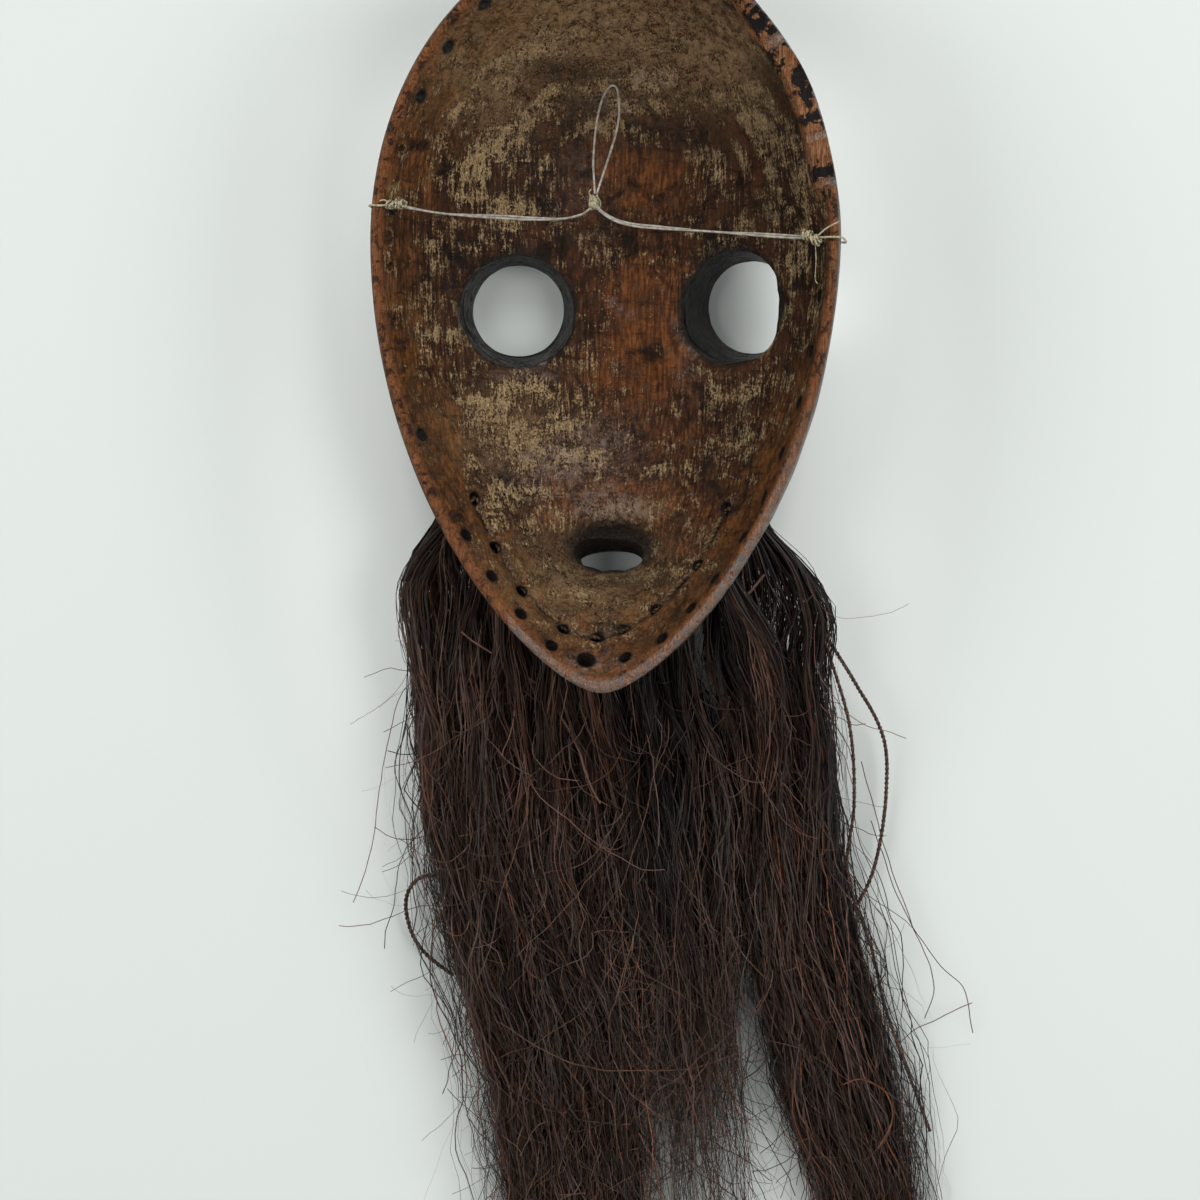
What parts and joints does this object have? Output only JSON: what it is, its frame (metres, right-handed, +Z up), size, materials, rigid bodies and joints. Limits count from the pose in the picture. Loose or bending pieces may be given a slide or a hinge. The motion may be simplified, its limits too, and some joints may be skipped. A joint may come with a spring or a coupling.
{
  "type": "wooden face mask with a fibre beard",
  "caption": "Oval carved wooden face mask with tubular eyes, a hollow back, a drilled rim, a plant-fibre beard and a nylon hanging line; it lies face down.",
  "frame": {"origin": "on the surface the mask lies on, under the middle of the object's length and width", "axes": "+Z up, out of the mask's hollow back; +Y towards the forehead; the beard reaches towards -Y"},
  "size_m": [0.1885, 0.4827, 0.0766],
  "materials": {
    "wood": "semi-gloss dark patina, worn copper-brown on the rim, ochre dirt in the hollow",
    "fibre": "very dark brown plant fibre with a few orange-brown strands",
    "cord": "twisted plant cord under ochre dirt",
    "nylon": "pale translucent monofilament"
  },
  "bodies": {
    "root": {"mask": "wood", "beard_cord": "cord", "beard_tuft_1": "fibre", "beard_tuft_2": "fibre", "beard_tuft_3": "fibre", "beard_tuft_4": "fibre", "beard_tuft_5": "fibre", "beard_tuft_6": "fibre", "beard_tuft_7": "fibre", "beard_tuft_8": "fibre", "beard_tuft_9": "fibre", "hanging_line_left": "nylon", "hanging_line_right": "nylon", "hanging_loop": "nylon", "knot_left": "nylon", "knot_middle": "nylon", "knot_right": "nylon"}
  },
  "joints": []
}
